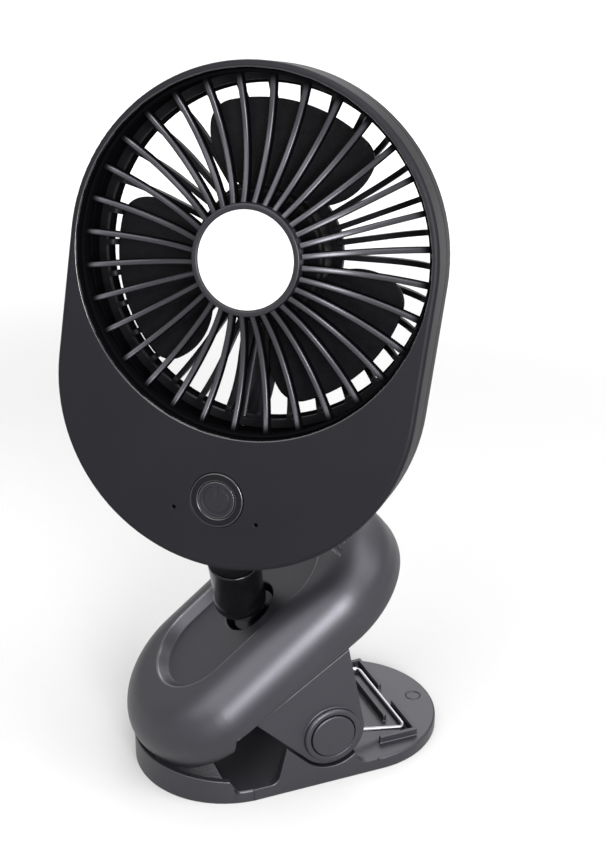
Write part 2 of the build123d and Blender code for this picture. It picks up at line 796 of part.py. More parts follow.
def along_lead(radius):
    """A round bar that follows the motor lead."""
    return sweep(Plane(origin=lead_start, z_dir=lead_turn - lead_start) * Circle(radius), path=lead_path)


lead_tunnel = along_lead(lead_radius + seat_gap)
save("motor_lead", along_lead(lead_radius), head_plane)

# Rear housing: back wall with the fan's outlet, screw wells and the boss that turns on the neck
housing_front = -cover_depth - seam
housing = slab(head_outline(), -head_depth, housing_front)
housing = fillet(housing.faces().sort_by(Axis.Z)[0].edges(), back_round)
neck_boss = rod(neck_boss_radius, neck_boss_start, neck_boss_end)
neck_boss = fillet(neck_boss.edges().filter_by(GeomType.CIRCLE), neck_boss_round)
neck_location = neck_plane.location
housing += neck_location * neck_boss
housing -= slab(Circle(opening_radius), rear_lip - head_depth, overrun)
housing -= slab(Circle(rear_opening_radius), -head_depth - overrun, overrun)
housing -= slab(hollow_plan, head_wall - head_depth, overrun)
housing += neck_location * rod(neck_boss_radius, neck_boss_start + neck_boss_round, stem_length)
housing -= neck_location * rod(neck_pocket_radius, stem_length, stem_length + neck_pocket_depth)
housing -= neck_location * rod(stem_radius + running_gap, 0, stem_length)
head_seat = countersink_depth - head_depth
for x, y in head_screw_spots:
    housing += Pos(x, y) * rod(head_boss_radius, head_wall - head_depth, housing_front)
    housing -= Pos(x, y) * rod(screw_head_radius + seat_gap, -head_depth - overrun, head_seat)
    housing -= Pos(x, y) * rod(screw_radius + running_gap, -head_depth, 0)
housing -= lead_tunnel
housing -= slab(head_outline(-overrun), housing_front, overrun)
save("rear_housing", housing, head_plane)

head_screws = Part()
for x, y in head_screw_spots:
    turned = Rot(180, 0, 0) * screw(screw_head_radius, screw_head_height, screw_length)
    head_screws += Pos(x, y, head_seat) * turned
save("housing_screws", head_screws, head_plane)


# Grilles: a rib in the plane of the axis, repeated round the hub
def ribbed(rib, count, phase_deg):
    """Copies of a rib all round, the first of them turned by a phase."""
    ring = Part()
    for step in range(count):
        ring += Rot(0, 0, phase_deg + step * 360 / count) * rib
    return ring


def radial_plate(outline, wall):
    """A plate that holds the axis, from its side outline."""
    return extrude(Plane.XZ * make_face(outline), wall / 2, both=True)


grille_radius = opening_radius - seat_gap
grille_inner = grille_radius - grille_rim_wall
hub_back = hub_proud - hub_ring_depth
rib_end = grille_inner + grille_rim_wall / 2


def dish_line(lift):
    """Points of a rib's edge: root at the hub, deepest spot, end at the rim."""
    root = (rib_root_radius, rib_root_proud - lift)
    deepest = (dish_radius, -dish_depth - lift)
    return [root, deepest, (rib_end, -rib_end_depth - lift)]


rib_front = dish_line(0)
rib_back = dish_line(grille_rib_depth)
front_rib = radial_plate(
    ThreePointArc(*rib_front)
    + Line(rib_front[-1], rib_back[-1])
    + ThreePointArc(*reversed(rib_back))
    + Line(rib_back[0], rib_front[0]),
    grille_rib_wall,
)
rim_front = grille_rim_margin - rib_end_depth
rim_back = -rib_end_depth - grille_rib_depth - grille_rim_margin
front_grille = pipe(grille_radius, grille_inner, rim_back, rim_front)
front_grille += rod(hub_ring_radius, hub_back, hub_proud)
front_grille += ribbed(front_rib, rib_count, front_rib_phase_deg)
front_grille -= rod(badge_radius + running_gap, hub_proud - badge_seat, hub_proud + overrun)
save("front_grille", front_grille, head_plane)

badge_low = hub_proud - badge_seat + running_gap
badge_high = badge_low + badge_edge
badge_top = badge_high + badge_crown
crown_radius = (badge_radius**2 + badge_crown**2) / (2 * badge_crown)
badge = rod(badge_radius, badge_low, badge_top)
badge &= Pos(0, 0, badge_top - crown_radius) * Sphere(crown_radius)
save("hub_badge", badge, head_plane)

rear_in = rear_hub_radius - rear_rib_wall
rear_out = ring_inner + rear_rib_wall
lip_edge = rear_opening_radius - seat_gap
flat_radius = 2 * basket_radius - lip_edge - rear_ring_width


def basket_side(depth):
    """Side view of a rear rib: from the ring it turns down fast, then runs flat to the hub."""
    outer_top = min(ring_back + depth, ring_front)
    turn = ring_back - basket_depth
    flat_top = holder_back + depth
    top_flat = (flat_radius, flat_top)
    low_flat = (flat_radius, holder_back)
    top_lip = (lip_edge, outer_top)
    low_lip = (lip_edge, ring_back)
    top_arc = ThreePointArc(top_lip, (basket_radius, turn + depth), top_flat)
    low_arc = ThreePointArc(low_flat, (basket_radius, turn), low_lip)
    inner = Polyline(top_flat, (rear_in, flat_top), (rear_in, holder_back), low_flat)
    outer = Polyline(low_lip, (rear_out, ring_back), (rear_out, outer_top), top_lip)
    return top_arc + inner + low_arc + outer


rear_rib = radial_plate(basket_side(rear_rib_depth), rear_rib_wall)
strut = radial_plate(basket_side(strut_thickness), strut_width)
rear_grille = pipe(ring_outer, ring_inner, ring_back, ring_front)
rear_grille += rod(rear_hub_radius, holder_back, holder_front)
rear_grille += ribbed(rear_rib, rib_count, 180 / rib_count)
rear_grille += Rot(0, 0, -90) * strut
rear_grille -= rod(bush_radius + running_gap, holder_back - overrun, holder_front + overrun)
rear_grille -= lead_tunnel
save("rear_grille", rear_grille, head_plane)

# Motor: stator on the rear holder, bush through both, magnet ring in the fan's hub
stator_back = holder_front + seam
stator = pipe(stator_radius, bush_radius + running_gap, stator_back, stator_back + stator_depth)
save("motor_stator", stator, head_plane)
bush_front = stator_back + stator_depth
save("motor_bush", pipe(bush_radius, shaft_radius + running_gap, holder_back, bush_front), head_plane)

# Fan: a cup-shaped hub and three broad blades that climb as they go round
hub_face = -fan_hub_recess
hub_back_edge = hub_face - fan_hub_depth
fan_hub = rod(fan_hub_radius, hub_back_edge, hub_face)
fan_hub = fillet(fan_hub.faces().sort_by(Axis.Z)[-1].edges(), fan_hub_round)
fan_hub -= rod(fan_hub_radius - fan_hub_wall, hub_back_edge - overrun, hub_face - fan_hub_wall)
fan_hub -= rod(shaft_radius, hub_back_edge, hub_face - fan_hub_wall / 2)


blade_level = -blade_recess


def polar(radius, angle_deg):
    """A point of the front view by its radius and angle."""
    angle = math.radians(angle_deg)
    return (radius * math.cos(angle), radius * math.sin(angle))


def blade_plan():
    """Front view of one blade about the X axis, with round tip corners."""
    root = fan_hub_radius - fan_hub_wall / 2
    middle = root + (fan_radius - root) * blade_mid_share
    tip_arc = ThreePointArc(
        polar(fan_radius, -blade_tip_deg), polar(fan_radius, 0), polar(fan_radius, blade_tip_deg)
    )
    lead_edge = ThreePointArc(
        polar(fan_radius, blade_tip_deg), polar(middle, blade_spread_deg), polar(root, blade_root_deg)
    )
    root_arc = ThreePointArc(polar(root, blade_root_deg), polar(root, 0), polar(root, -blade_root_deg))
    trail_edge = ThreePointArc(
        polar(root, -blade_root_deg), polar(middle, -blade_spread_deg), polar(fan_radius, -blade_tip_deg)
    )
    plan = make_face(tip_arc + lead_edge + root_arc + trail_edge)
    corners = plan.vertices().sort_by(Axis.X)[-2:]
    return fillet(corners, blade_tip_round)


def climbing_sheet():
    """A thin sheet that climbs evenly round the axis, wider than the blade."""
    sections = []
    low = fan_hub_radius - fan_hub_wall
    high = fan_radius + overrun
    reach_deg = blade_spread_deg * (1 + blade_margin_share)
    for share in sheet_shares:
        angle = math.radians(reach_deg * share)
        radial = Vector(math.cos(angle), math.sin(angle), 0)
        round_way = Vector(-math.sin(angle), math.cos(angle), 0)
        z = blade_level + blade_rise / 2 * share
        plane = Plane(origin=(0, 0, z), x_dir=radial, z_dir=round_way)
        sections.append(plane * Pos((low + high) / 2, 0) * Rectangle(high - low, blade_wall))
    return loft(sections)


blade = climbing_sheet() & slab(blade_plan(), blade_level - blade_rise, blade_level + blade_rise)
fan = fan_hub
for step in range(blade_count):
    fan += Rot(0, 0, blade_phase_deg + step * 360 / blade_count) * blade
save("fan_blades", fan, head_plane)

magnet_outer = fan_hub_radius - fan_hub_wall - running_gap
magnet_front = hub_face - fan_hub_wall - seam
magnet = pipe(magnet_outer, magnet_outer - magnet_wall, magnet_front - magnet_depth, magnet_front)
save("magnet_ring", magnet, head_plane)
save("motor_shaft", rod(shaft_radius, holder_back, hub_face - fan_hub_wall / 2), head_plane)

# Switch: a bezel in the cover, a button that slides in it, and the switch behind
bezel_back = -bezel_depth
bezel = Pos(0, -button_drop) * pipe(bezel_radius, bezel_radius - bezel_wall, bezel_back, bezel_front)
save("button_bezel", bezel, head_plane)

flange_front = bezel_back - seam
switch_front = board_face + switch_height
plunger_front = flange_front - button_flange
button = rod(button_radius, flange_front, button_front)
button += rod(button_flange_radius, plunger_front, flange_front)
mark = Circle(mark_arc_radius + mark_width / 2) - Circle(mark_arc_radius - mark_width / 2)
mark_gap = 2 * mark_arc_radius * math.sin(math.radians(mark_gap_deg / 2))
mark -= Pos(0, mark_arc_radius) * Rectangle(mark_gap, mark_arc_radius)
mark += Pos(0, mark_bar_middle) * Rectangle(mark_width, mark_bar_length)
button -= slab(mark, button_front - mark_depth, button_front + overrun)
save("power_button", Pos(0, -button_drop) * button, head_plane)

switch = Pos(0, 0, board_face) * Box(switch_width, switch_width, switch_height, align=from_below)
plunger_low = switch_front - button_travel
switch -= rod(plunger_radius + running_gap, plunger_low - button_travel, switch_front + overrun)
save("tact_switch", Pos(0, -button_drop) * switch, head_plane)
save("switch_plunger", Pos(0, -button_drop) * rod(plunger_radius, plunger_low, plunger_front), head_plane)

# Board with its wing to the charging inlet, its screws, lights, inlet and cell
board_middle = -(board_top + board_bottom) / 2
board_plan = Pos(0, board_middle) * Rectangle(2 * board_half_width, board_bottom - board_top)
wing_in = -board_half_width
wing_width = board_wing_out - board_half_width
board_plan += Pos(wing_in - wing_width / 2, -(board_wing_top + board_wing_bottom) / 2) * Rectangle(
    wing_width, board_wing_bottom - board_wing_top
)
arm_bottom = (board_wing_top + board_wing_bottom) / 2
board_plan += Pos(-(board_arm_in + board_arm_out) / 2, -(board_arm_top + arm_bottom) / 2) * Rectangle(
    board_arm_out - board_arm_in, arm_bottom - board_arm_top
)
board = slab(board_plan, board_back, board_face)
for x, y in board_posts:
    board -= Pos(x, y) * rod(screw_radius + running_gap, board_back - overrun, board_face + overrun)
save("control_board", board, head_plane)

board_screws = Part()
for x, y in board_posts:
    turned = Rot(180, 0, 0) * screw(screw_head_radius, screw_head_height, board_screw_length)
    board_screws += Pos(x, y, board_back) * turned
save("board_screws", board_screws, head_plane)

lights = Part()
for x in (light_across, -light_across):
    lights += Pos(x, -light_drop) * rod(light_radius, board_face + seam, -seam)
save("indicator_pipes", lights, head_plane)

socket = block(
    socket_mouth,
    socket_mouth + socket_depth,
    -socket_drop - socket_width / 2,
    -socket_drop + socket_width / 2,
    board_face,
    socket_back,
)
socket = fillet(socket.edges().filter_by(Axis.X), socket_height / 2 - socket_wall)
socket -= Pos(socket_wall, 0, 0) * block(
    socket_mouth - overrun,
    socket_mouth + socket_depth - 2 * socket_wall,
    -socket_drop - socket_width / 2 + socket_wall,
    -socket_drop + socket_width / 2 - socket_wall,
    board_face + socket_wall,
    socket_back - socket_wall,
)
save("usb_socket", socket, head_plane)

cell_back = head_wall - head_depth + seat_gap
cell_front = cell_back + cell_thickness
cell = block(-cell_length / 2, cell_length / 2, -cell_top - cell_width, -cell_top, cell_back, cell_front)
save("battery_cell", fillet(cell.edges(), cell_round), head_plane)
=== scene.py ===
import json
import math
import bmesh
import bpy
from mathutils import Matrix, Vector

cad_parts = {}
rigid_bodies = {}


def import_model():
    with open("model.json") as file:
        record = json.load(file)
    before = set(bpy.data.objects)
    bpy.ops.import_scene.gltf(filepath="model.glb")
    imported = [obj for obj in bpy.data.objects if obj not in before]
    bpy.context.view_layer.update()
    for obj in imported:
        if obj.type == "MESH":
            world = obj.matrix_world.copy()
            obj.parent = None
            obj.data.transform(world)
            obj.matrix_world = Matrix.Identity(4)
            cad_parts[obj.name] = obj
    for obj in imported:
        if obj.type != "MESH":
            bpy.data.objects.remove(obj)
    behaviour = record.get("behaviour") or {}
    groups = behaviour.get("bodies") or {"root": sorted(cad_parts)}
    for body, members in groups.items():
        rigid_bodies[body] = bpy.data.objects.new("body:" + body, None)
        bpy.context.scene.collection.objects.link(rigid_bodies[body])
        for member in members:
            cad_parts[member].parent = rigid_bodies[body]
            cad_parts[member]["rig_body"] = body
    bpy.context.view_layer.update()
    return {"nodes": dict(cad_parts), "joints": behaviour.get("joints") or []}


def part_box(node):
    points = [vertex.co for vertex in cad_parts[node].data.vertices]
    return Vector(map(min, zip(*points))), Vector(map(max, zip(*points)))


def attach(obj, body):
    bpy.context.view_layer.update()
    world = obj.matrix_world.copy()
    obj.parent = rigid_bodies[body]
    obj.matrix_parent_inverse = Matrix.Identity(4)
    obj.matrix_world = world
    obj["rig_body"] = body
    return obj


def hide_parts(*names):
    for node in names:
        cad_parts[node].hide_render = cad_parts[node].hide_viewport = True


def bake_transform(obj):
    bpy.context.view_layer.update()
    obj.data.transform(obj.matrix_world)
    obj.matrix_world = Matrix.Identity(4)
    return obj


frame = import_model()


# Studio
# A pale seamless floor in a white tent that glows at its crown and along the horizon. The strongest soft
# box stands low in front. The camera stands in front, to the fan's left, and looks down on the clamp.
mm = 0.001
scene = bpy.context.scene
scene.view_settings.view_transform = "Standard"


def placed(name, data):
    """A new object with this data, in the scene."""
    made = bpy.data.objects.new(name, data)
    scene.collection.objects.link(made)
    return made


class Value:
    """One output of a node tree, so that the maths of a surface reads as plain sums."""

    def __init__(self, tree, socket):
        self.tree = tree
        self.socket = socket

    def node(self, kind, sockets, output=0, **settings):
        """A new node with its settings, its sockets set or linked, as the value of one output."""
        made = self.tree.nodes.new(kind)
        for name, setting in settings.items():
            setattr(made, name, setting)
        for key, given in sockets.items():
            if isinstance(given, Value):
                self.tree.links.new(given.socket, made.inputs[key])
            else:
                made.inputs[key].default_value = given
        return Value(self.tree, made.outputs[output])

    def maths(self, operation, first, second=0.0):
        return self.node("ShaderNodeMath", {0: first, 1: second}, operation=operation)

    def __add__(self, other):
        return self.maths("ADD", self, other)

    def __sub__(self, other):
        return self.maths("SUBTRACT", self, other)

    def __rsub__(self, other):
        return self.maths("SUBTRACT", other, self)

    def __mul__(self, other):
        return self.maths("MULTIPLY", self, other)

    def noise(self, size, detail=2.0):
        """Cloudy noise with patches of about this size."""
        return self.node("ShaderNodeTexNoise", {"Vector": self, "Scale": 1 / size, "Detail": detail})

    def ramp(self, low, high):
        """A smooth step from 0 to 1 between two levels."""
        levels = {"Value": self, "From Min": low, "From Max": high}
        return self.node("ShaderNodeMapRange", levels, interpolation_type="SMOOTHSTEP")

    def between(self, first, second):
        """A colour between two colours."""
        return self.node("ShaderNodeMix", {0: self, 6: (*first, 1), 7: (*second, 1)}, 2, data_type="RGBA")

    def relief(self, height):
        """The bumps of a surface whose height changes by this much, in millimetres."""
        return self.node("ShaderNodeBump", {"Height": self, "Distance": height * mm})


def surface(name):
    """A new material, and the place on the piece in millimetres."""
    material = bpy.data.materials.new(name)
    material.use_nodes = True
    tree = material.node_tree
    place = Value(tree, tree.nodes.new("ShaderNodeTexCoord").outputs["Object"])
    return material, place.node("ShaderNodeVectorMath", {0: place, "Scale": 1 / mm}, operation="SCALE")


def coat(material, sockets):
    """Set or link the sockets of a material's shader."""
    tree = material.node_tree
    shader = tree.nodes["Principled BSDF"]
    for name, given in sockets.items():
        if isinstance(given, Value):
            tree.links.new(given.socket, shader.inputs[name])
        else:
            shader.inputs[name].default_value = given
    return material


floor_half = 15.0
# The floor is painted darker near the fan and lighter far off, as painted light that stands in for the
# soft boxes' light falling off, so that it shows evenly white.
floor_near = (0.31, 0.31, 0.31)
floor_far = (0.80, 0.80, 0.80)
floor_fade = (300.0, 1100.0)
floor_corners = [(-floor_half, -floor_half, 0), (floor_half, -floor_half, 0)]
floor_corners += [(floor_half, floor_half, 0), (-floor_half, floor_half, 0)]
floor_mesh = bpy.data.meshes.new("studio_floor")
floor_mesh.from_pydata(floor_corners, [], [(0, 1, 2, 3)])
floor_paint, floor_place = surface("studio_floor")
from_fan = floor_place.node("ShaderNodeVectorMath", {0: floor_place}, "Value", operation="LENGTH")
floor_tone = from_fan.ramp(*floor_fade).between(floor_near, floor_far)
floor_mesh.materials.append(coat(floor_paint, {"Base Color": floor_tone, "Roughness": 0.9}))
placed("studio_floor", floor_mesh)

tent_white = (1, 1, 1, 1)
tent_glow = 0.45
crown_glow = 0.90
crown_heights = (0.10, 0.60)
horizon_glow = 0.50
horizon_heights = (0.09, 0.18)
tent = bpy.data.worlds.new("white_tent")
tent.use_nodes = True
tent_light = tent.node_tree.nodes["Background"]
tent_light.inputs["Color"].default_value = tent_white
heading = Value(tent.node_tree, tent.node_tree.nodes.new("ShaderNodeTexCoord").outputs["Generated"])
height = heading.node("ShaderNodeSeparateXYZ", {0: heading}, "Z")
crown = height.ramp(*crown_heights) * crown_glow
horizon = (1 - height.ramp(*horizon_heights)) * horizon_glow
tent.node_tree.links.new((crown + horizon + tent_glow).socket, tent_light.inputs["Strength"])
scene.world = tent

fan_middle = Vector((0, 0, 90 * mm))


def soft_box(name, spot, width, power):
    """A square soft box at a spot, turned to the middle of the fan, in metres and watts."""
    lamp = bpy.data.lights.new(name, "AREA")
    lamp.energy = power
    lamp.size = width
    box = placed(name, lamp)
    box.location = spot
    box.rotation_euler = (fan_middle - Vector(spot)).to_track_quat("-Z", "Y").to_euler()


soft_box("front_box", (-0.14, -1.15, 0.36), width=0.45, power=31)
soft_box("overhead_box", (0.15, -0.30, 1.1), width=0.8, power=14)
soft_box("left_box", (-0.75, -0.40, 0.80), width=0.9, power=12)
soft_box("right_box", (0.75, -0.60, 0.70), width=0.6, power=5)
soft_box("back_box", (0.45, 0.80, 0.75), width=0.6, power=3)

camera_spot = (-141 * mm, -363 * mm, 276 * mm)
view_right = Vector((0.92718, -0.37461, 0))
view_ahead = Vector((0.34483, 0.85350, -0.39073))
view_up = view_right.cross(view_ahead)
view_turn = Matrix((view_right, view_up, -view_ahead)).transposed().to_4x4()
camera = placed("camera", bpy.data.cameras.new("camera"))
camera.matrix_world = Matrix.Translation(camera_spot) @ view_turn
camera.data.sensor_width = 36
camera.data.lens = 59.22
scene.camera = camera


# Clamp base
# The lower jaw, cheeks and tail plate are one moulding in charcoal plastic with a fine eroded grain.
# It stands on the table, and its lugs and barrels carry the clamp's pin. Its corners have small rounds.
nodes = frame["nodes"]
violet_sheen = (0.92, 0.90, 1.0, 1)
# Black that is painted on as shade, where no light gets in.
painted_shade_black = (0.0015, 0.0015, 0.0018, 1)


def moulded_plastic(name, colour, roughness, shine=0.5, grain=0.35, depth=0.012, painted_shade=None, painted_sheen=None):
    """Plastic from an eroded mould: a fine grain, and a cloudy change of tone and gloss.
    Where the shade mask gives 1, black shade is painted on; where the sheen mask gives 1, a coat paints a
    sheen."""
    cloud_size = 22.0
    tone_change = 0.10
    cloud_gloss = 0.06
    grain_gloss = 0.10
    even_gloss = roughness - (cloud_gloss + grain_gloss) / 2
    material, place = surface(name)
    grains = place.noise(grain)
    clouds = place.noise(cloud_size)
    dark = [(1 - tone_change) * part for part in colour]
    light = [(1 + tone_change) * part for part in colour]
    finish = {"Base Color": clouds.between(dark, light), "Normal": grains.relief(depth)}
    finish["Roughness"] = clouds * cloud_gloss + grains * grain_gloss + even_gloss
    finish.update({"Specular IOR Level": shine, "Specular Tint": violet_sheen})
    # Painted sheen: a glossy coat lays a bright line of light where the sheen mask gives 1.
    if painted_sheen:
        finish.update({"Coat Weight": painted_sheen(place), "Coat Roughness": 0.2})
    coat(material, finish)
    # Painted shade: a dull black shader is mixed in where the shade mask gives 1.
    if painted_shade:
        tree = material.node_tree
        shader = Value(tree, tree.nodes["Principled BSDF"].outputs["BSDF"])
        dull = shader.node("ShaderNodeBsdfDiffuse", {"Color": painted_shade_black})
        mixed = shader.node("ShaderNodeMixShader", {0: painted_shade(place), 1: shader, 2: dull})
        tree.links.new(mixed.socket, tree.nodes["Material Output"].inputs["Surface"])
    return material


def round_axis(place, start, axis):
    """How far a place is from an axis, and how far along it, in millimetres."""
    arm = place.node("ShaderNodeVectorMath", {0: place, 1: start / mm}, operation="SUBTRACT")
    level = arm.node("ShaderNodeVectorMath", {0: arm, 1: axis}, "Value", operation="DOT_PRODUCT")
    across = arm.node("ShaderNodeVectorMath", {0: arm, 1: axis}, operation="CROSS_PRODUCT")
    return across.node("ShaderNodeVectorMath", {0: across}, "Value", operation="LENGTH"), level


def smooth_mesh(name, form):
    """The mesh of a finished form, shaded smooth."""
    for face in form.faces:
        face.smooth = True
    mesh = bpy.data.meshes.new(name)
    form.to_mesh(mesh)
    form.free()
    return mesh


def welded_copy(node, melt_deg=0.0):
    """A mesh of a CAD piece with its corners joined up, and flat stretches melted into one face."""
    weld = 0.001 * mm
    form = bmesh.new()
    form.from_mesh(nodes[node].data)
    bmesh.ops.remove_doubles(form, verts=form.verts, dist=weld)
    if melt_deg:
        melt = math.radians(melt_deg)
        bmesh.ops.dissolve_limit(form, angle_limit=melt, verts=form.verts, edges=form.edges)
    return smooth_mesh(node, form)


def made_mesh(piece):
    """What the piece's modifiers make, as a plain mesh."""
    bpy.context.view_layer.update()
    return bpy.data.meshes.new_from_object(piece.evaluated_get(bpy.context.evaluated_depsgraph_get()))


def stands_for(piece, *cad_nodes):
    """The piece takes the place and the body of CAD pieces, which are hidden."""
    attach(piece, nodes[cad_nodes[0]]["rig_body"])
    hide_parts(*cad_nodes)
    return piece


def softened(node, material, corner):
    """A piece as it leaves the tool: the CAD piece with its sharp corners rounded.
    A point that the rounding throws further than the corner goes back to the piece's surface."""
    mesh = welded_copy(node, melt_deg=0.05)
    mesh.materials.append(material)
    piece = placed(node + "_moulding", mesh)
    bevel = piece.modifiers.new("corner", "BEVEL")
    bevel.width = corner
    bevel.segments = 2
    bevel.limit_method = "ANGLE"
    bevel.angle_limit = math.radians(50)
    bevel.use_clamp_overlap = False
    bevel.loop_slide = False
    evened = piece.modifiers.new("flat_faces_stay_flat", "WEIGHTED_NORMAL")
    evened.keep_sharp = True
    piece.data = made_mesh(piece)
    piece.modifiers.clear()
    for vertex in piece.data.vertices:
        spot = nodes[node].closest_point_on_mesh(vertex.co)[1]
        if (spot - vertex.co).length > corner:
            vertex.co = spot
    stands_for(piece, node)


charcoal = (0.0052, 0.0049, 0.0062)
clip_plastic = moulded_plastic("clip_plastic", charcoal, roughness=0.42)
softened("base_plate", clip_plastic, corner=0.35 * mm)


# Jaw pads
# Two pads of grey closed-cell foam that grip without marking. Their skin is speckled with open cells,
# whose pits are painted dark as shade.
# Each is cut from sheet to the inside of its jaw, which leaves soft edges, and glued in.
def foam_pad(node, material):
    """A pad with the soft edges of cut foam."""
    mesh = welded_copy(node)
    mesh.materials.append(material)
    pad = placed(node + "_pad", mesh)
    cells = pad.modifiers.new("cells", "REMESH")
    cells.mode = "VOXEL"
    cells.voxel_size = 0.4 * mm
    edges = pad.modifiers.new("soft_edges", "SMOOTH")
    edges.factor = 0.5
    edges.iterations = 6
    pad.data = made_mesh(pad)
    pad.modifiers.clear()
    pad.data.shade_smooth()
    stands_for(pad, node)


foam_grey = (0.085, 0.085, 0.095)
foam_pit_shade = (0.012, 0.012, 0.015)
foam_cell_size = 0.55
foam_cell_wall = (0.1, 0.6)
foam_fleck_size = 0.5
foam_fleck_range = (0.56, 0.66)
foam_fleck_depth = 0.4
jaw_foam, foam_place = surface("jaw_foam")
foam_cells = foam_place.node("ShaderNodeTexVoronoi", {"Vector": foam_place, "Scale": 1 / foam_cell_size})
foam_flecks = foam_place.noise(foam_fleck_size).ramp(*foam_fleck_range)
foam_skin = foam_cells.ramp(*foam_cell_wall) - foam_flecks * foam_fleck_depth
# The pits are painted darker, as shade inside them.
foam_finish = {"Base Color": foam_flecks.between(foam_grey, foam_pit_shade), "Roughness": 0.92}
foam_finish["Normal"] = foam_skin.relief(height=0.08)
coat(jaw_foam, foam_finish)
foam_pad("jaw_foam_lower", jaw_foam)
foam_pad("jaw_foam_upper", jaw_foam)


# Clamp pin
# The hinge of the clamp is a ground steel pin with fine turning marks round it.
# It passes the base's lugs and barrels and the two ears of the upper jaw, and caps hide its ends.
def turned_metal(name, colour, roughness, groove=0.12):
    """Metal with the fine marks of turning or drawing, and a cloudy gloss."""
    cloud_size = 6.0
    gloss_change = 0.08
    dull_share = 0.85
    bright_share = 1.08
    material, place = surface(name)
    marks = place.noise(groove, detail=3.0)
    clouds = place.noise(cloud_size)
    dull = [dull_share * part for part in colour]
    bright = [bright_share * part for part in colour]
    finish = {"Base Color": clouds.between(dull, bright), "Metallic": 1.0}
    finish["Roughness"] = clouds * gloss_change + marks * gloss_change + (roughness - gloss_change)
    finish["Normal"] = marks.relief(height=0.003)
    return coat(material, finish)


steel = turned_metal("steel", (0.52, 0.52, 0.54), roughness=0.28)
softened("pivot_pin", steel, corner=0.3 * mm)


# Torsion spring
# One bright drawn wire, bent cold: a bridge on the tail plate, coils round the pin's barrels, two legs.
# The legs swing with the upper jaw while the bridge stays. Here the wire is one fixed mesh on no body, so
# it does not bend.
def plain_mesh(holder, name, sizes, material, build):
    """Grows a form from the holder's own shape and named sizes, and leaves it as a plain mesh."""
    tree = bpy.data.node_groups.new(name, "GeometryNodeTree")
    tree.interface.new_socket("Start", in_out="INPUT", socket_type="NodeSocketGeometry")
    for label in sizes:
        tree.interface.new_socket(label, in_out="INPUT", socket_type="NodeSocketFloat")
    tree.interface.new_socket("Form", in_out="OUTPUT", socket_type="NodeSocketGeometry")
    given = tree.nodes.new("NodeGroupInput")
    start = Value(tree, given.outputs["Start"])
    form = build(start, {label: Value(tree, given.outputs[label]) for label in sizes})
    whole = form.node("GeometryNodeRealizeInstances", {"Geometry": form})
    dressed = whole.node("GeometryNodeSetMaterial", {"Geometry": whole, "Material": material})
    tree.links.new(dressed.socket, tree.nodes.new("NodeGroupOutput").inputs["Form"])
    modifier = holder.modifiers.new(name, "NODES")
    modifier.node_group = tree
    for item in tree.interface.items_tree:
        if item.in_out == "INPUT" and item.name in sizes:
            modifier[item.identifier] = sizes[item.name]
    mesh = made_mesh(holder)
    bpy.data.objects.remove(holder)
    return placed(name, mesh)


def line_of(name, points):
    """A curve through points, as the start of a swept form."""
    curve = bpy.data.curves.new(name, "CURVE")
    curve.dimensions = "3D"
    spline = curve.splines.new("POLY")
    spline.points.add(len(points) - 1)
    for spot, point in zip(spline.points, points):
        spot.co = (*point, 1)
    return placed(name, curve)


def round_wire(start, size):
    """A round wire along the curve, with closed ends."""
    ring = {"Radius": size["Wire radius"], "Resolution": 14}
    section = start.node("GeometryNodeCurvePrimitiveCircle", ring)
    swept = {"Curve": start, "Profile Curve": section, "Fill Caps": True}
    tube = start.node("GeometryNodeCurveToMesh", swept)
    return tube.node("GeometryNodeSetShadeSmooth", {"Geometry": tube})


joints = {joint["name"]: joint for joint in frame["joints"]}
pivot = Vector(joints["jaw_open"]["pos_m"])
outward = Vector(joints["neck_swivel"]["axis"])
along = Vector((outward.z, 0, -outward.x))
wire_radius = 0.75 * mm
coil_radius = 6.2 * mm
coil_pitch = 2.1 * mm
coil_turns = 3
bend_radius = 2.4 * mm
leg_reach = 27.3 * mm
leg_rise = 18.58 * mm
leg_seat = pivot + along * leg_reach + outward * leg_rise
spring_low, spring_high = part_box("torsion_spring")
bridge = Vector((spring_high.x - wire_radius, spring_high.y - wire_radius, spring_low.z + wire_radius))
to_pivot = Vector((pivot.x - bridge.x, 0, pivot.z - bridge.z))
to_seat = leg_seat - pivot
low_heading = math.atan2(to_pivot.z, to_pivot.x) + math.asin(coil_radius / to_pivot.length)
high_heading = math.atan2(to_seat.z, to_seat.x) - math.asin(coil_radius / to_seat.length)
coil_sweep = low_heading - high_heading + 2 * math.pi * coil_turns
coil_run = coil_pitch * coil_sweep / (2 * math.pi)
leg_way = Vector((math.cos(low_heading), 0, math.sin(low_heading)))


def coil_point(share):
    """A point of the coil between its start and its end."""
    turn = low_heading - coil_sweep * share
    spot = Vector((-math.sin(turn), 0, math.cos(turn))) * coil_radius
    return Vector((pivot.x, bridge.y - coil_run * share, pivot.z)) + spot


bend_steps = 10
coil_steps = 150
bend_side = Vector((0, bend_radius, 0))
bend_middle = bridge + leg_way * bend_radius - bend_side
half_wire = []
for step in range(bend_steps + 1):
    swing = math.pi / 2 * step / bend_steps
    half_wire.append(bend_middle + bend_side * math.sin(swing) - leg_way * bend_radius * math.cos(swing))
half_wire += [coil_point(step / coil_steps) for step in range(coil_steps + 1)]
half_wire.append(Vector((leg_seat.x, half_wire[-1].y, leg_seat.z)))
other_half = [Vector((point.x, -point.y, point.z)) for point in half_wire]
spring_steel = turned_metal("spring_steel", (0.34, 0.34, 0.36), roughness=0.26, groove=0.3)
wire_line = line_of("spring_line", other_half[::-1] + half_wire)
spring = plain_mesh(wire_line, "spring_wire", {"Wire radius": wire_radius}, spring_steel, round_wire)
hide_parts("torsion_spring")
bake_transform(spring)


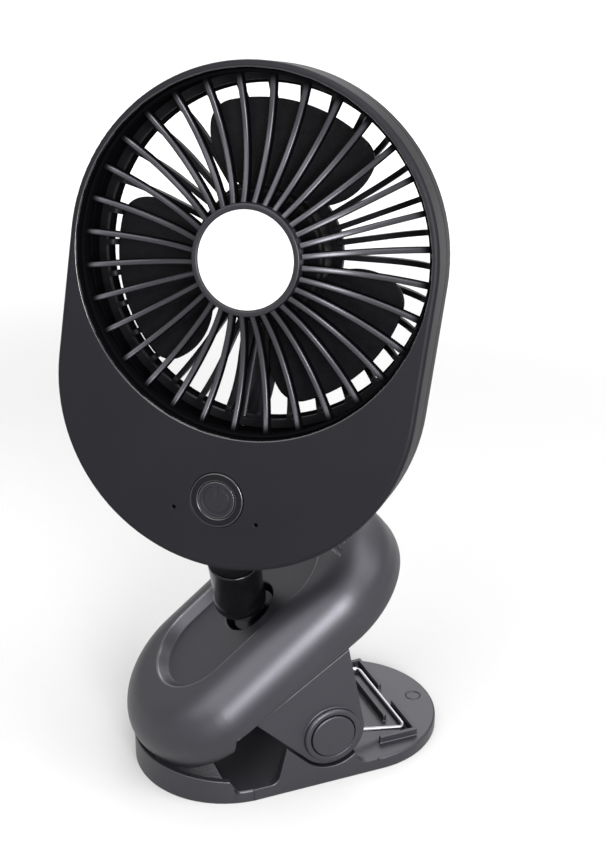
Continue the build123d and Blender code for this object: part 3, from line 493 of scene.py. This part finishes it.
# Upper jaw
# A thick satin shell with a racetrack recess, a well for the neck and grip grooves at its tail. The frame
# under it has two ears on the pin, with caps over its ends. All are moulded, and screws hold the frame.
ball_centre = Vector(joints["neck_tilt"]["pos_m"])
well_wall = (8.9, 9.4)
well_top = (-5.8, -5.2)


def well_shade(place):
    """Where black shade is painted: the wall and floor of the well under the ball."""
    from_ball, above_ball = round_axis(place, ball_centre, outward)
    return (1 - from_ball.ramp(*well_wall)) * (1 - above_ball.ramp(*well_top))


jaw_reach = 5.3 * mm
jaw_rise = 25.9 * mm
jaw_middle = pivot + along * jaw_reach + outward * jaw_rise
across = Vector((0, 1, 0))
rim_straight = 15.5
rim_radius = 17.4
rim_half_width = 0.2
rim_fade = 0.5


def recess_rim_sheen(place):
    """Where a bright sheen is painted: along the edge of the racetrack recess, two half circles and the
    straights between them.
    """
    lengthwise = round_axis(place, jaw_middle, along)[1]
    crosswise = round_axis(place, jaw_middle, across)[1]
    beyond = lengthwise.maths("ABSOLUTE", lengthwise) - rim_straight
    beyond = beyond.maths("MAXIMUM", beyond)
    spread = beyond * beyond + crosswise * crosswise
    from_middle = spread.maths("SQRT", spread)
    inside = from_middle.ramp(rim_radius - rim_fade, rim_radius - rim_half_width)
    outside = from_middle.ramp(rim_radius + rim_half_width, rim_radius + rim_fade)
    return inside * (1 - outside)


# The shell's plastic has painted shade in the well and a painted sheen along the recess's edge.
shell_masks = {"painted_shade": well_shade, "painted_sheen": recess_rim_sheen}
shell_plastic = moulded_plastic("shell_plastic", charcoal, roughness=0.42, **shell_masks)
softened("upper_shell", shell_plastic, corner=0.35 * mm)
softened("jaw_frame", clip_plastic, corner=0.35 * mm)
softened("pivot_caps", clip_plastic, corner=0.2 * mm)


# Screws
# Steel screws with a domed head and a cross recess, formed cold from wire.
# The four of the jaw are driven from below, through the frame into bosses of the shell.
def turned(name, outline, steps):
    """A mesh turned about its axis from half an outline of radius and height."""
    form = bmesh.new()
    rings = []
    for radius, level in outline:
        count = steps if radius > 0 else 1
        angles = [2 * math.pi * step / count for step in range(count)]
        rings.append([form.verts.new((radius * math.cos(a), radius * math.sin(a), level)) for a in angles])
    for low, high in zip(rings, rings[1:]):
        for step in range(steps):
            after = step + 1
            corners = [low[step % len(low)], low[after % len(low)]]
            corners += [high[after % len(high)], high[step % len(high)]]
            corners = list(dict.fromkeys(corners))
            if len(corners) > 2:
                form.faces.new(corners)
    bmesh.ops.recalc_face_normals(form, faces=form.faces)
    return smooth_mesh(name, form)


def joined(start, forms):
    """Several forms as one."""
    whole = start.node("GeometryNodeJoinGeometry", {})
    for form in forms:
        start.tree.links.new(form.socket, whole.socket.node.inputs[0])
    return whole


screw_head_radius = 2.5 * mm
screw_head_height = 1.5 * mm
screw_shank_radius = 1.2 * mm
screw_length = 9.0 * mm
screw_edge_share = 0.5
screw_crown_shares = [(1.35, 0.57), (1.05, 0.72), (0.75, 0.85), (0.4, 0.95)]
screw_outline = [(0, -screw_length), (screw_shank_radius, -screw_length), (screw_shank_radius, 0)]
screw_outline += [(screw_head_radius, 0), (screw_head_radius, screw_edge_share * screw_head_height)]
for lean, share in screw_crown_shares:
    screw_outline.append((screw_head_radius * math.sin(lean), share * screw_head_height))
screw_outline.append((0, screw_head_height))


def driven_screws(node, seats, place):
    """Screws whose heads look down their plane's axis, each on its seat, in millimetres."""

    def pattern(start, size):
        lift = start.node("ShaderNodeCombineXYZ", {2: screw_head_height})
        sides = [size["Slot width"], size["Slot length"], size["Slot depth"]]
        cut = start
        for order in ((0, 1, 2), (1, 0, 2)):
            extent = start.node("ShaderNodeCombineXYZ", {axis: sides[order[axis]] for axis in range(3)})
            bar = start.node("GeometryNodeMeshCube", {"Size": extent})
            bar = start.node("GeometryNodeTransform", {"Geometry": bar, "Translation": lift})
            cut = start.node("GeometryNodeMeshBoolean", {0: cut, 1: bar}, operation="DIFFERENCE")
        copies = []
        for x, y, z in seats:
            moved = {"Geometry": cut, "Translation": (x * mm, y * mm, z * mm), "Rotation": (math.pi, 0, 0)}
            copies.append(start.node("GeometryNodeTransform", moved))
        return joined(start, copies)

    sizes = {"Slot width": 0.55 * mm, "Slot length": 2.9 * mm, "Slot depth": 1.5 * mm}
    holder = placed(node + "_one", turned(node + "_one", screw_outline, steps=32))
    screws = plain_mesh(holder, node + "_driven", sizes, steel, pattern)
    screws.data.transform(place)
    stands_for(screws, node)


jaw_screw_rows = ((-34, -5.6), (34, -6.47))
jaw_screw_sides = (13, -13)
jaw_place = Matrix((along, across, outward)).transposed().to_4x4()
jaw_place.translation = jaw_middle
driven_screws("jaw_screws", [(x, y, z) for x, z in jaw_screw_rows for y in jaw_screw_sides], jaw_place)


# Neck
# A glossy black ball stud stands in the jaw's well. A black cup grips the ball, closed by a thin collar,
# and its shoulder runs up to the head. All three are moulded, and a screw with a washer holds each end.
neck_black = (0.0018, 0.0018, 0.0022)
neck_finish = {"roughness": 0.22, "shine": 0.20, "grain": 0.5, "depth": 0.004}
neck_plastic = moulded_plastic("neck_plastic", neck_black, **neck_finish)
softened("ball_stud", neck_plastic, corner=0.2 * mm)
softened("socket_cup", neck_plastic, corner=0.25 * mm)
softened("socket_collar", neck_plastic, corner=0.08 * mm)
for node in ("stud_washer", "stud_screw", "neck_washer", "neck_screw"):
    softened(node, steel, corner=0.15 * mm)


# Head
# A flat charcoal cover and a rounded housing behind it, both matt mouldings, closed by four screws from
# the back. The round opening leaves a narrow rim with a painted sheen on its edge, and black shade is
# painted on its duct and, in part, on the boss that takes the neck.
facing = Vector(joints["fan_spin"]["axis"])
sideways = Vector(joints["neck_tilt"]["axis"])
stem_way = Vector(joints["head_twist"]["axis"])
head_place = Matrix((sideways, facing.cross(sideways), facing)).transposed().to_4x4()
head_place.translation = joints["fan_spin"]["pos_m"]
duct_wall = (50.1, 50.5)
duct_front = (-1.2, -0.3)
boss_wall = (8.3, 8.8)
boss_top = (24.0, 28.0)
boss_shade_share = 0.7
edge_wall = (50.2, 50.4)
edge_back = (-1.2, -0.8)


def duct_shade(place):
    """Where black shade is painted: the wall of the duct behind the opening, and in part the boss that
    takes the neck.
    """
    from_axis, before_fan = round_axis(place, head_place.translation, facing)
    duct = (1 - from_axis.ramp(*duct_wall)) * (1 - before_fan.ramp(*duct_front))
    from_stem, up_stem = round_axis(place, ball_centre, stem_way)
    boss = (1 - from_stem.ramp(*boss_wall)) * (1 - up_stem.ramp(*boss_top)) * boss_shade_share
    return duct.maths("MAXIMUM", duct, boss)


def opening_edge_sheen(place):
    """Where a bright sheen is painted: the edge of the round opening."""
    from_axis, before_fan = round_axis(place, head_place.translation, facing)
    return (1 - from_axis.ramp(*edge_wall)) * before_fan.ramp(*edge_back)


head_charcoal = (0.0036, 0.0036, 0.0045)
head_finish = {"roughness": 0.50, "shine": 0.10, "grain": 0.3, "depth": 0.014}
head_masks = {"painted_shade": duct_shade, "painted_sheen": opening_edge_sheen}
head_plastic = moulded_plastic("head_plastic", head_charcoal, **head_finish, **head_masks)
softened("front_cover", head_plastic, corner=0.3 * mm)
softened("rear_housing", head_plastic, corner=0.3 * mm)
head_screw_level = -18.3
head_screw_spots = ((44.5, -38), (-44.5, -38), (33, -69.5), (-33, -69.5))
driven_screws("housing_screws", [(x, y, head_screw_level) for x, y in head_screw_spots], head_place)


# Front grille
# One moulding: thirty-two slim ribs dip from a cup-shaped hub and rise a little to the rim, which seats
# in the opening. The ribs' fronts are rounded, so each carries one satin line of light. Their sides and
# outer ends are painted black as shade.
rib_count = 32
rib_phase_deg = 1.0


def rounded_bar(line, size, kind, round_steps, capped):
    """A bar with rounded corners along a line, with the wall, depth and round of its kind."""
    line = line.node("GeometryNodeSetCurveNormal", {"Curve": line}, mode="Z_UP")
    sides = {"Width": size[kind + " wall"], "Height": size[kind + " depth"]}
    section = line.node("GeometryNodeCurvePrimitiveQuadrilateral", sides)
    rounds = {"Curve": section, "Count": round_steps, "Radius": size[kind + " round"]}
    section = line.node("GeometryNodeFilletCurve", rounds, mode="POLY")
    swept = {"Curve": line, "Profile Curve": section, "Fill Caps": capped}
    return line.node("GeometryNodeCurveToMesh", swept)


def grille_ribs(start, size):
    """Ribs swept along one dished line and copied round the axis, with the rim that ties their ends."""

    def spot(kind):
        return start.node("ShaderNodeCombineXYZ", {0: size[kind + " radius"], 2: size[kind + " level"]})

    dish = {"Start": spot("Root"), "Middle": spot("Dish"), "End": spot("End"), "Resolution": 28}
    arc = start.node("GeometryNodeCurveArc", dish, mode="POINTS")
    rib = rounded_bar(arc, size, "Rib", round_steps=4, capped=True)
    forward = start.node("ShaderNodeSeparateXYZ", {0: start.node("GeometryNodeInputNormal", {})}, "Z")
    marked = {"Geometry": rib, "Name": "front_share", "Value": forward}
    rib = start.node("GeometryNodeStoreNamedAttribute", marked)
    spots = start.node("GeometryNodePoints", {"Count": rib_count})
    order = start.node("GeometryNodeInputIndex", {})
    turn = order * (2 * math.pi / rib_count) + math.radians(rib_phase_deg)
    around = start.node("ShaderNodeCombineXYZ", {2: turn})
    copies = {"Points": spots, "Instance": rib, "Rotation": around}
    ribs = start.node("GeometryNodeInstanceOnPoints", copies)
    ring = {"Radius": size["Rim radius"], "Resolution": 192}
    circle = start.node("GeometryNodeCurvePrimitiveCircle", ring)
    rim = rounded_bar(circle, size, "Rim", round_steps=3, capped=False)
    level = start.node("ShaderNodeCombineXYZ", {2: size["Rim level"]})
    rim = start.node("GeometryNodeTransform", {"Geometry": rim, "Translation": level})
    whole = joined(start, [ribs, rim])
    return whole.node("GeometryNodeSetShadeSmooth", {"Geometry": whole})


flank_range = (0.05, 0.60)
rib_end_range = (45.5, 48.5)


def rib_flank_shade(place):
    """Where black shade is painted: the sides of the ribs, and their ends at the rim."""
    from_hub = round_axis(place, head_place.translation, facing)[0]
    front_share = place.node("ShaderNodeAttribute", {}, "Fac", attribute_name="front_share")
    return 1 - front_share.ramp(*flank_range) * (1 - from_hub.ramp(*rib_end_range))


grille_charcoal = (0.0062, 0.0060, 0.0072)
grille_finish = {"roughness": 0.34, "grain": 0.4, "depth": 0.006}
rib_finish = {"shine": 0.42, "painted_shade": rib_flank_shade, **grille_finish}
rib_plastic = moulded_plastic("rib_plastic", grille_charcoal, **rib_finish)
rib_sizes = {"Root radius": 14.4, "Root level": -1.0, "Dish radius": 32.0, "Dish level": -7.8}
rib_sizes.update({"End radius": 49.35, "End level": -5.2})
rib_sizes.update({"Rib wall": 1.6, "Rib depth": 3.2, "Rib round": 0.5})
rib_sizes.update({"Rim radius": 49.35, "Rim level": -5.2})
rib_sizes.update({"Rim wall": 0.9, "Rim depth": 4.4, "Rim round": 0.2})
rib_sizes = {label: size * mm for label, size in rib_sizes.items()}
rib_holder = placed("grille_start", bpy.data.meshes.new("grille_start"))
ribs = plain_mesh(rib_holder, "grille_ribs", rib_sizes, rib_plastic, grille_ribs)
ribs.data.transform(head_place)
stands_for(ribs, "front_grille")


def eased(points, ease):
    """An outline with each inner corner cut back to a small round, and its ends kept."""
    outline = [Vector(points[0])]
    for before, corner, after in zip(points, points[1:], points[2:]):
        corner = Vector(corner)
        first = corner + (Vector(before) - corner).normalized() * ease
        last = corner + (Vector(after) - corner).normalized() * ease
        outline += [first, (first + last + 2 * corner) / 4, last]
    outline.append(Vector(points[-1]))
    return [(point.x * mm, point.y * mm) for point in outline]


def lathe_piece(name, points, ease, material, place):
    """A round piece in its place, from an outline in millimetres."""
    mesh = turned(name, eased(points, ease), steps=128)
    mesh.materials.append(material)
    mesh.transform(place)
    return placed(name, mesh)


hub_radius = 15.2
hub_half = 2.4
cup_radius = 13.58
cup_floor = 1.2
hub_points = [(0, -hub_half), (hub_radius, -hub_half), (hub_radius, hub_half)]
hub_points += [(cup_radius, hub_half), (cup_radius, cup_floor), (0, cup_floor)]
hub_ease = 0.35
hub_plastic = moulded_plastic("grille_plastic", grille_charcoal, shine=0.22, **grille_finish)
stands_for(lathe_piece("grille_hub", hub_points, hub_ease, hub_plastic, head_place), "front_grille")


# Badge
# A plain white disc, slightly crowned, moulded in one piece.
# It sits in the cup of the grille's hub, and it carries no print.
badge_finish = {"roughness": 0.36, "grain": 0.5, "depth": 0.003}
badge_white = moulded_plastic("badge_white", (0.36, 0.36, 0.36), **badge_finish)
badge_radius = 13.5
badge_low = 1.28
badge_top = 2.78
badge_crown = 0.6
badge_rings = (badge_radius, 11, 8.5, 6, 3)
badge_points = [(0, badge_low), (badge_radius, badge_low)]
badge_points += [(ring, badge_top - badge_crown * (ring / badge_radius) ** 2) for ring in badge_rings]
badge_points.append((0, badge_top))
badge_ease = 0.25
stands_for(lathe_piece("badge_disc", badge_points, badge_ease, badge_white, head_place), "hub_badge")


# Rear grille
# The back of the duct is one black moulding: ribs bowed back like a basket, a disc that holds the motor
# and a wide strut for its lead. Its ring seats in the rear housing.
duct_black = (0.0022, 0.0022, 0.0026)
duct_plastic = moulded_plastic("duct_plastic", duct_black, roughness=0.45, shine=0.10)
softened("rear_grille", duct_plastic, corner=0.2 * mm)


# Motor
# A stator of stacked iron sheets on a brass bush that passes through the rear grille's disc. A magnet
# ring turns round it with the fan, on a thin steel shaft, and a sleeved lead runs down to the board.
sheet_pitch = 0.5
sheet_dark = (0.05, 0.05, 0.055)
sheet_light = (0.16, 0.16, 0.17)
stator_iron, stator_place = surface("stator_iron")
along_shaft = {0: stator_place, 1: facing}
stator_level = stator_place.node("ShaderNodeVectorMath", along_shaft, "Value", operation="DOT_PRODUCT")
sheet_swing = stator_level * (2 * math.pi / sheet_pitch)
sheet_edges = sheet_swing.maths("SINE", sheet_swing).ramp(-1, 1)
stator_tone = sheet_edges.between(sheet_dark, sheet_light)
coat(stator_iron, {"Base Color": stator_tone, "Metallic": 0.8, "Roughness": 0.45})
bush_brass = turned_metal("bush_brass", (0.62, 0.44, 0.18), roughness=0.3)
magnet = turned_metal("magnet", (0.12, 0.12, 0.125), roughness=0.5)
lead_sleeve = moulded_plastic("lead_sleeve", (0.008, 0.008, 0.009), roughness=0.5, shine=0.4)
softened("motor_stator", stator_iron, corner=0.2 * mm)
softened("motor_bush", bush_brass, corner=0.1 * mm)
softened("magnet_ring", magnet, corner=0.1 * mm)
softened("motor_shaft", steel, corner=0.1 * mm)
softened("motor_lead", lead_sleeve, corner=0.05 * mm)


# Fan
# A black cup-shaped hub and three broad blades in one moulding, on the motor's shaft.
# The blades have a fine flow pattern from the mould.
fan_dark = (0.0012, 0.0012, 0.0015)
fan_light = (0.0030, 0.0030, 0.0036)
fan_grain_size = 0.45
fan_grain_share = 1.5
fan_flow_size = 3.0
fan_flow_gloss = 0.2
fan_roughness = 0.3
fan_plastic, fan_place = surface("fan_plastic")
fan_grain = fan_place.noise(fan_grain_size)
fan_flow = fan_place.noise(fan_flow_size, detail=4.0)
fan_finish = {"Base Color": fan_flow.between(fan_dark, fan_light), "Specular IOR Level": 0.035}
fan_finish["Roughness"] = fan_flow * fan_flow_gloss + fan_roughness
fan_finish["Normal"] = (fan_grain * fan_grain_share + fan_flow).relief(height=0.06)
coat(fan_plastic, fan_finish)
softened("fan_blades", fan_plastic, corner=0.3 * mm)


# Switch and lights
# A satin ring in the cover and a round button that slides in it, both mouldings with a painted sheen on
# their edges. Behind them a plunger works a small switch, and two dark pipes lead from the board to
# pinhole lights.
ring_outer_edge = (7.4, 7.55)
ring_inner_edge = (5.75, 5.9)
button_rim = (5.0, 5.15)
bezel_low, bezel_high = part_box("button_bezel")
bezel_middle = (bezel_low + bezel_high) / 2


def ring_edge_sheen(place):
    """Where a bright sheen is painted: the outer and the inner edge of the ring."""
    from_button = round_axis(place, bezel_middle, facing)[0]
    return from_button.ramp(*ring_outer_edge) + (1 - from_button.ramp(*ring_inner_edge))


def button_edge_sheen(place):
    """Where a bright sheen is painted: the edge of the button."""
    return round_axis(place, bezel_middle, facing)[0].ramp(*button_rim)


bezel_tone = (0.0028, 0.0028, 0.0034)
bezel_finish = {"roughness": 0.30, "shine": 0.09, "painted_sheen": ring_edge_sheen}
bezel_plastic = moulded_plastic("bezel_plastic", bezel_tone, **bezel_finish)
button_tone = (0.0055, 0.0054, 0.0064)
button_finish = {"roughness": 0.34, "shine": 0.17, "painted_sheen": button_edge_sheen}
button_plastic = moulded_plastic("button_plastic", button_tone, **button_finish)
switch_black = moulded_plastic("switch_black", (0.006, 0.006, 0.006), roughness=0.4)
softened("button_bezel", bezel_plastic, corner=0.3 * mm)
softened("power_button", button_plastic, corner=0.12 * mm)
softened("tact_switch", switch_black, corner=0.15 * mm)
softened("switch_plunger", switch_black, corner=0.15 * mm)
pipe_dark = (0.0004, 0.0004, 0.0004)
pipe_light = (0.0012, 0.0012, 0.0012)
light_pipe, pipe_place = surface("light_pipe")
pipe_tone = pipe_place.noise(size=0.4).between(pipe_dark, pipe_light)
coat(light_pipe, {"Base Color": pipe_tone, "Roughness": 0.6, "Specular IOR Level": 0.0})
softened("indicator_pipes", light_pipe, corner=0.08 * mm)


# Board, charging inlet and cell
# Inside the head a green board is screwed to posts. It carries a steel charging inlet with a black
# tongue, at the head's left edge. A flat rechargeable cell in wrinkled foil lies in the rear housing.
board_dark = (0.008, 0.075, 0.030)
board_light = (0.020, 0.130, 0.055)
board_green, board_place = surface("board")
track_sizes = {"Vector": board_place, "Scale": 0.35, "Mortar Size": 0.03}
tracks = board_place.node("ShaderNodeTexBrick", track_sizes, "Fac")
board_tone = tracks.between(board_dark, board_light)
coat(board_green, {"Base Color": board_tone, "Roughness": 0.35, "Normal": tracks.relief(height=0.03)})
softened("control_board", board_green, corner=0.1 * mm)
softened("board_screws", steel, corner=0.1 * mm)
softened("usb_socket", steel, corner=0.06 * mm)

foil_dark = (0.42, 0.44, 0.46)
foil_light = (0.62, 0.64, 0.66)
foil_roughness = 0.2
wrinkle_gloss = 0.3
cell_foil, foil_place = surface("cell_foil")
wrinkles = foil_place.noise(size=4.0, detail=4.0)
foil_finish = {"Base Color": wrinkles.between(foil_dark, foil_light), "Metallic": 1.0}
foil_finish["Roughness"] = wrinkles * wrinkle_gloss + foil_roughness
foil_finish["Normal"] = wrinkles.relief(height=0.15)
coat(cell_foil, foil_finish)
softened("battery_cell", cell_foil, corner=0.3 * mm)

tongue_middle = Vector((-45.2, -48, -5.9)) * mm
tongue_extent = (5.6 * mm, 6.4 * mm, 0.7 * mm)
tongue_corner = 0.2 * mm
tongue_form = bmesh.new()
bmesh.ops.create_cube(tongue_form, size=1.0, matrix=Matrix.Diagonal((*tongue_extent, 1.0)))
rounding = {"offset": tongue_corner, "segments": 3, "profile": 0.5, "affect": "EDGES"}
bmesh.ops.bevel(tongue_form, geom=tongue_form.edges, **rounding)
tongue_mesh = bpy.data.meshes.new("inlet_tongue")
tongue_form.to_mesh(tongue_mesh)
tongue_form.free()
tongue_mesh.transform(head_place @ Matrix.Translation(tongue_middle))
tongue_mesh.materials.append(switch_black)
tongue = placed("inlet_tongue", tongue_mesh)
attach(tongue, "head")
